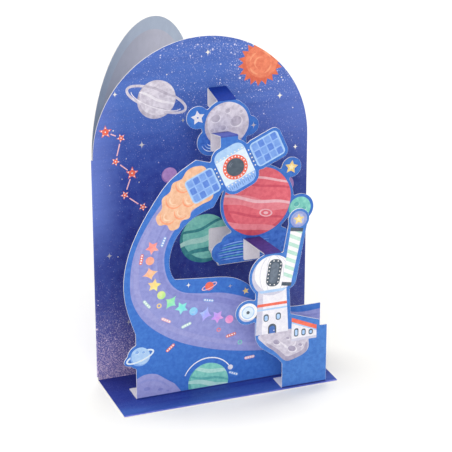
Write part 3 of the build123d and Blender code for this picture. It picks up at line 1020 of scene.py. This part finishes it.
materials = {name: ink(name, *tones) for name, tones in PLAIN_INKS.items()}
# The page and its border, in tones set a little dark as painted shade
materials["page"] = page_with_painted_shade("page", (198, 200, 218), (192, 194, 212), 56.0)
materials["page_border"] = page_with_painted_shade("page_border", (184, 198, 219), (178, 192, 214), 40.0)
materials["night_sky"] = night_sky()
materials["night_base"] = night_base()
materials["foil"] = foil()
materials["rainbow"] = rainbow()
materials["card_core"] = card_core()
materials["card_rim"] = card_white("card_rim", (244, 244, 250), (226, 228, 240))
materials["card_reverse"] = card_white("card_reverse", (244, 240, 244), (234, 229, 235))


# Sheets


class Side:
    """One flat side of a sheet: its plane, its print, and what shows past its folds and at its rim."""

    def __init__(self, origin, across, up, art, fold=None, rim="card_rim"):
        self.origin = Vector(origin)
        self.across = Vector(across)
        self.up = Vector(up)
        self.facing = self.across.cross(self.up)
        self.art = art
        self.fold = fold or art.ground
        self.rim = rim

    def flat(self, point):
        offset = point - self.origin
        return (offset.dot(self.across), offset.dot(self.up))

    def solid(self, point):
        return self.origin + self.across * point[0] + self.up * point[1]

    def holds(self, triangle, normal):
        if normal.dot(self.facing) <= SAME_WAY:
            return False
        return all(abs((p - self.origin).dot(self.facing)) < PLANE_GAP for p in triangle)


class Sheet:
    """A mesh that is built face by face, each with its ink and whether it is flat."""

    def __init__(self):
        self.points = []
        self.numbers = {}
        self.faces = []

    def corner(self, point):
        key = key_of(point)
        if key not in self.numbers:
            self.numbers[key] = len(self.points)
            self.points.append(Vector(point) * MM)
        return self.numbers[key]

    def face(self, points, ink_name, flat):
        corners = [self.corner(p) for p in points]
        if len(set(corners)) == len(corners):
            self.faces.append((corners, ink_name, flat))


def key_of(point):
    return tuple(round(c, 3) for c in point)


def edges_of(corners):
    return list(zip(corners, [*corners[1:], corners[0]]))


def edge_keys(triangle):
    return edges_of([key_of(p) for p in triangle])


def loops_round(edges):
    """The loops made by the edges that no face has on the other side, with the faces on their left."""
    follow = {a: b for a, b in edges if (b, a) not in edges}
    loops = []
    while follow:
        here = next(iter(follow))
        loop = []
        while here in follow:
            loop.append(here)
            here = follow.pop(here)
        loops.append(loop)
    return loops


def drawn_in(loop, margin):
    """A loop of flat points moved to its left by a margin."""
    sharpest = 0.4
    out = []
    for i, here in enumerate(loop):
        normals = []
        for a, b in ((loop[i - 1], here), (here, loop[(i + 1) % len(loop)])):
            run = dist(a, b)
            normals.append((-(b[1] - a[1]) / run, (b[0] - a[0]) / run))
        (ax, az), (bx, bz) = normals
        push = margin / max(1 + ax * bx + az * bz, sharpest)
        out.append((here[0] + (ax + bx) * push, here[1] + (az + bz) * push))
    return out


def triangulate(polygons):
    """Cuts overlapping polygons into triangles. Gives the points, the triangles and what covers each."""
    points, faces = [], []
    for polygon in polygons:
        faces.append(list(range(len(points), len(points) + len(polygon))))
        points += [Vector(p) for p in polygon]
    made = delaunay_2d_cdt(points, [], faces, 0, JOIN_GAP, True)
    return made[0], made[2], made[5], made[3]


def near(point, segment, reach):
    """Whether a flat point lies within a distance of a segment."""
    a, b = segment
    run = (b[0] - a[0], b[1] - a[1])
    share = ((point[0] - a[0]) * run[0] + (point[1] - a[1]) * run[1]) / dist(a, b) ** 2
    return dist(point, between(a, b, min(max(share, 0.0), 1.0))) < reach


def lay_print(sheet, side, triangles, folds):
    """Covers one flat side of a sheet with its print, inside a rim of bare card that stops at the folds."""
    corners = {key_of(p): p for triangle in triangles for p in triangle}
    edges = dict.fromkeys(edge for triangle in triangles for edge in edge_keys(triangle))
    loops = [[corners[key] for key in loop] for loop in loops_round(edges)]
    outer = [[side.flat(p) for p in loop] for loop in loops]
    inner = [drawn_in(loop, RIM) for loop in outer]
    folds = [(side.flat(a), side.flat(b)) for a, b in folds]

    # The printed field
    count = len(inner)
    points, faces, covers, _ = triangulate(inner + [shape[0] for shape in side.art.shapes])
    kept = []
    for corners, covering in zip(faces, covers):
        if any(number < count for number in covering):
            kept.append(corners)
            shapes = {number - count for number in covering if number >= count}
            sheet.face([side.solid(points[i]) for i in corners], side.art.ink_at(shapes), True)

    # The rim, whose outer points are the sheet's own
    kept_edges = {edge for face in kept for edge in edges_of(face)}
    holes = [[points[i] for i in loop] for loop in loops_round(kept_edges)]
    solids = [p for loop in loops for p in loop] + [side.solid(p) for hole in holes for p in hole]
    points, faces, covers, sources = triangulate(outer + holes)
    for corners, covering in zip(faces, covers):
        if covering and all(number < count for number in covering):
            middle = sum((points[i] for i in corners), Vector((0, 0))) / 3
            at_fold = any(near(middle, fold, 0.8 * RIM) for fold in folds)
            places = [solids[sources[i][0]] for i in corners]
            sheet.face(places, side.art.ground if at_fold else side.rim, True)


def build_sheet(node, sides):
    """Rebuilds a CAD sheet with its printed sides. A side's ink carries on round its folds."""
    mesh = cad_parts[node].data
    mesh.calc_loop_triangles()
    spots = [v.co / MM for v in mesh.vertices]
    triangles = [[spots[i] for i in t.vertices] for t in mesh.loop_triangles]
    triangles = [t for t in triangles if len({key_of(p) for p in t}) == 3]
    normals = [(t[1] - t[0]).cross(t[2] - t[0]).normalized() for t in triangles]
    owner = {edge: i for i, t in enumerate(triangles) for edge in edge_keys(t)}
    sheet = Sheet()

    members = [[i for i, t in enumerate(triangles) if side.holds(t, normals[i])] for side in sides]
    taken = {i: side.fold for side, found in zip(sides, members) for i in found}
    printed = set(taken)
    for side, found in zip(sides, members):
        folds = []
        reached = list(found)
        while reached:
            i = reached.pop()
            for (a, b), segment in zip(edge_keys(triangles[i]), edges_of(triangles[i])):
                other = owner.get((b, a))
                if other is None or normals[i].dot(normals[other]) < FOLD_LIMIT:
                    continue
                if i in found and other not in found:
                    folds.append(segment)
                if other not in taken:
                    taken[other] = side.fold
                    reached.append(other)
        lay_print(sheet, side, [triangles[i] for i in found], folds)
    for i, triangle in enumerate(triangles):
        if i not in printed:
            sheet.face(triangle, taken.get(i, "card_core"), False)
    return sheet


def new_object(name, data):
    thing = bpy.data.objects.new(name, data)
    bpy.context.collection.objects.link(thing)
    return thing


def make_piece(node, sides):
    """Builds a printed sheet that stands for its CAD node."""
    sheet = build_sheet(node, sides)
    mesh = bpy.data.meshes.new(f"printed_{node}")
    faces, inks, flats = zip(*sheet.faces)
    mesh.from_pydata(sheet.points, [], faces)
    names = sorted(set(inks))
    for ink_name in names:
        mesh.materials.append(materials[ink_name])
    mesh.polygons.foreach_set("material_index", [names.index(i) for i in inks])
    mesh.polygons.foreach_set("use_smooth", [not flat for flat in flats])
    mesh.set_sharp_from_angle(angle=EDGE_ANGLE)
    mesh.update()
    piece = new_object(mesh.name, mesh)
    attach(piece, "root")
    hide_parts(node)


def front(y, art, fold=None):
    return Side((SPINE_X, y, 0), (1, 0, 0), (0, 0, 1), art, fold)


def white_side(origin, up):
    """The bare reverse of a sheet, seen from behind or from below."""
    return Side(origin, (-1, 0, 0), up, printed("card_reverse"), rim="card_reverse")


def back(y):
    return white_side((SPINE_X, y + CARD, 0), (0, 0, 1))


def rear_panel_sides():
    """The two sides of the rear panel, found as the widest slanted planes of the folded card."""
    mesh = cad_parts["folded_card"].data
    mesh.calc_loop_triangles()
    slanted = [t for t in mesh.loop_triangles if min(abs(t.normal.x), abs(t.normal.y)) > 0.1]
    widest = max(slanted, key=lambda t: t.area)
    inward = widest.normal if widest.normal.y < 0 else -widest.normal
    along_panel = Vector((-inward.y, inward.x, 0)).normalized()
    sides = []
    for way, art in ((1, printed("page_border", paint_page)), (-1, printed("night_sky"))):
        level = [t for t in mesh.loop_triangles if t.normal.dot(way * inward) > SAME_WAY]
        corners = [mesh.vertices[i].co / MM for t in level for i in t.vertices]
        origin = min(corners, key=lambda p: p.dot(along_panel)) - along_panel * PANEL_INSET
        origin.z = 0
        sides.append(Side(origin, way * along_panel, (0, 0, 1), art))
    return sides


def dress_folded_card():
    inner, outer = rear_panel_sides()
    painters = (paint_foil_stars, paint_pale_planet, paint_sun, paint_constellation, paint_teal_planet)
    arch_front = front(ARCH_Y, printed("night_sky", *painters))
    top = Side((SPINE_X, ARCH_Y, CARD), (1, 0, 0), (0, 1, 0), printed("night_base", paint_base))
    under = white_side((SPINE_X, ARCH_Y, 0), (0, 1, 0))
    make_piece("folded_card", [arch_front, back(ARCH_Y), outer, inner, top, under])


def dress_layer(name, y, ground, painters, fold):
    art = printed(ground, *painters)
    make_piece(f"{name}_layer", [front(y, art, fold), back(y)])


moon_art = (paint_grey_moon,)
planet_art = (paint_blue_cloud, paint_small_moon, paint_banded_planet)
sweep_art = (paint_band, paint_peach_cloud, paint_lights, paint_satellite)
sweep_art += (paint_small_things, paint_ringed_moon, paint_hill, paint_low_planet)
observatory_art = (paint_rock, paint_annex, paint_dish, paint_tower, paint_roof, paint_telescope)

dress_folded_card()
dress_layer("moon", MIDDLE_Y, "border_blue", moon_art, "strut_blue")
dress_layer("planet", MIDDLE_Y, "border_blue", planet_art, "border_blue")
dress_layer("sweep", SWEEP_Y, "border_blue", sweep_art, "strut_indigo")
dress_layer("observatory", OBSERVATORY_Y, "block_blue", observatory_art, "strut_purple")


# Floor, light and camera

FLOOR_REACH = 6.0
FLOOR_LIFT = 0.08
AMBIENT = 0.5
CAMERA_AZIMUTH = -20.958
CAMERA_ELEVATION = 21.583
CAMERA_DISTANCE = 1.0495
CAMERA_TARGET = (0.01435, 0.025, 0.0853)
FOCAL_LENGTH = 144.7
WHITE = (255, 255, 255)


def direction(azimuth, elevation):
    """The way from the card at these angles. Azimuth 0 is the reader's side, and 90 the open edge."""
    a, e = radians(azimuth), radians(elevation)
    return Vector((sin(a) * cos(e), -cos(a) * cos(e), sin(e)))


def make_floor():
    """A floor of pale paper, which the camera sees a little lighter than it is lit."""
    mesh = bpy.data.meshes.new("floor")
    corners = [(x * FLOOR_REACH, y * FLOOR_REACH, 0) for x, y in ((-1, -1), (1, -1), (1, 1), (-1, 1))]
    mesh.from_pydata(corners, [], [(0, 1, 2, 3)])
    shader = Shader("floor_paper", (238, 237, 233))
    shader.wash(shader.noise(40.0), (241, 240, 236))
    shader.finish(roughness=0.9, tooth=0.01)
    seen = shader.add("ShaderNodeLightPath").outputs["Is Camera Ray"]
    lift = shader.add("ShaderNodeEmission", {"Color": WHITE, "Strength": shader.times(seen, FLOOR_LIFT)})
    both = shader.add("ShaderNodeAddShader", {0: shader.surface.outputs[0], 1: lift.outputs[0]})
    shader.set(shader.tree.nodes["Material Output"], "Surface", both.outputs[0])
    mesh.materials.append(shader.material)
    floor = new_object("floor", mesh)


def make_world():
    """Even light from all round, which the camera and reflections see as a white backdrop."""
    world = bpy.data.worlds.new("studio")
    bpy.context.scene.world = world
    world.use_nodes = True
    nodes = Nodes(world.node_tree)
    rays = nodes.add("ShaderNodeLightPath").outputs
    seen = rays["Is Camera Ray"]
    for name in ("Is Glossy Ray", "Is Transmission Ray"):
        seen = nodes.math("MAXIMUM", seen, rays[name])
    background = world.node_tree.nodes["Background"]
    nodes.set(background, "Color", WHITE)
    nodes.set(background, "Strength", nodes.fit(seen, 0, 1, AMBIENT))


def make_lamp(name, azimuth, elevation, strength, spread):
    """A soft distant lamp."""
    lamp = bpy.data.lights.new(name, "SUN")
    lamp.energy = strength
    lamp.angle = radians(spread)
    holder = new_object(name, lamp)
    holder.rotation_euler = direction(azimuth, elevation).to_track_quat("Z", "Y").to_euler()


def make_camera():
    camera = new_object("camera", bpy.data.cameras.new("camera"))
    camera.location = Vector(CAMERA_TARGET) + CAMERA_DISTANCE * direction(CAMERA_AZIMUTH, CAMERA_ELEVATION)
    camera.rotation_euler = (radians(90 - CAMERA_ELEVATION), 0, radians(CAMERA_AZIMUTH))
    camera.data.lens = FOCAL_LENGTH
    camera.data.clip_start = 0.05
    camera.data.clip_end = 20
    bpy.context.scene.camera = camera


make_floor()
make_world()
make_lamp("key", -16, 32, 1.05, 44)
make_lamp("fill", -80, 34, 0.45, 60)
make_lamp("back_left", 222, 68, 0.6, 22)
make_lamp("back", 180, 75, 0.45, 14)
make_lamp("back_right", 148, 68, 0.45, 22)
make_camera()
bpy.context.scene.view_settings.view_transform = "Standard"
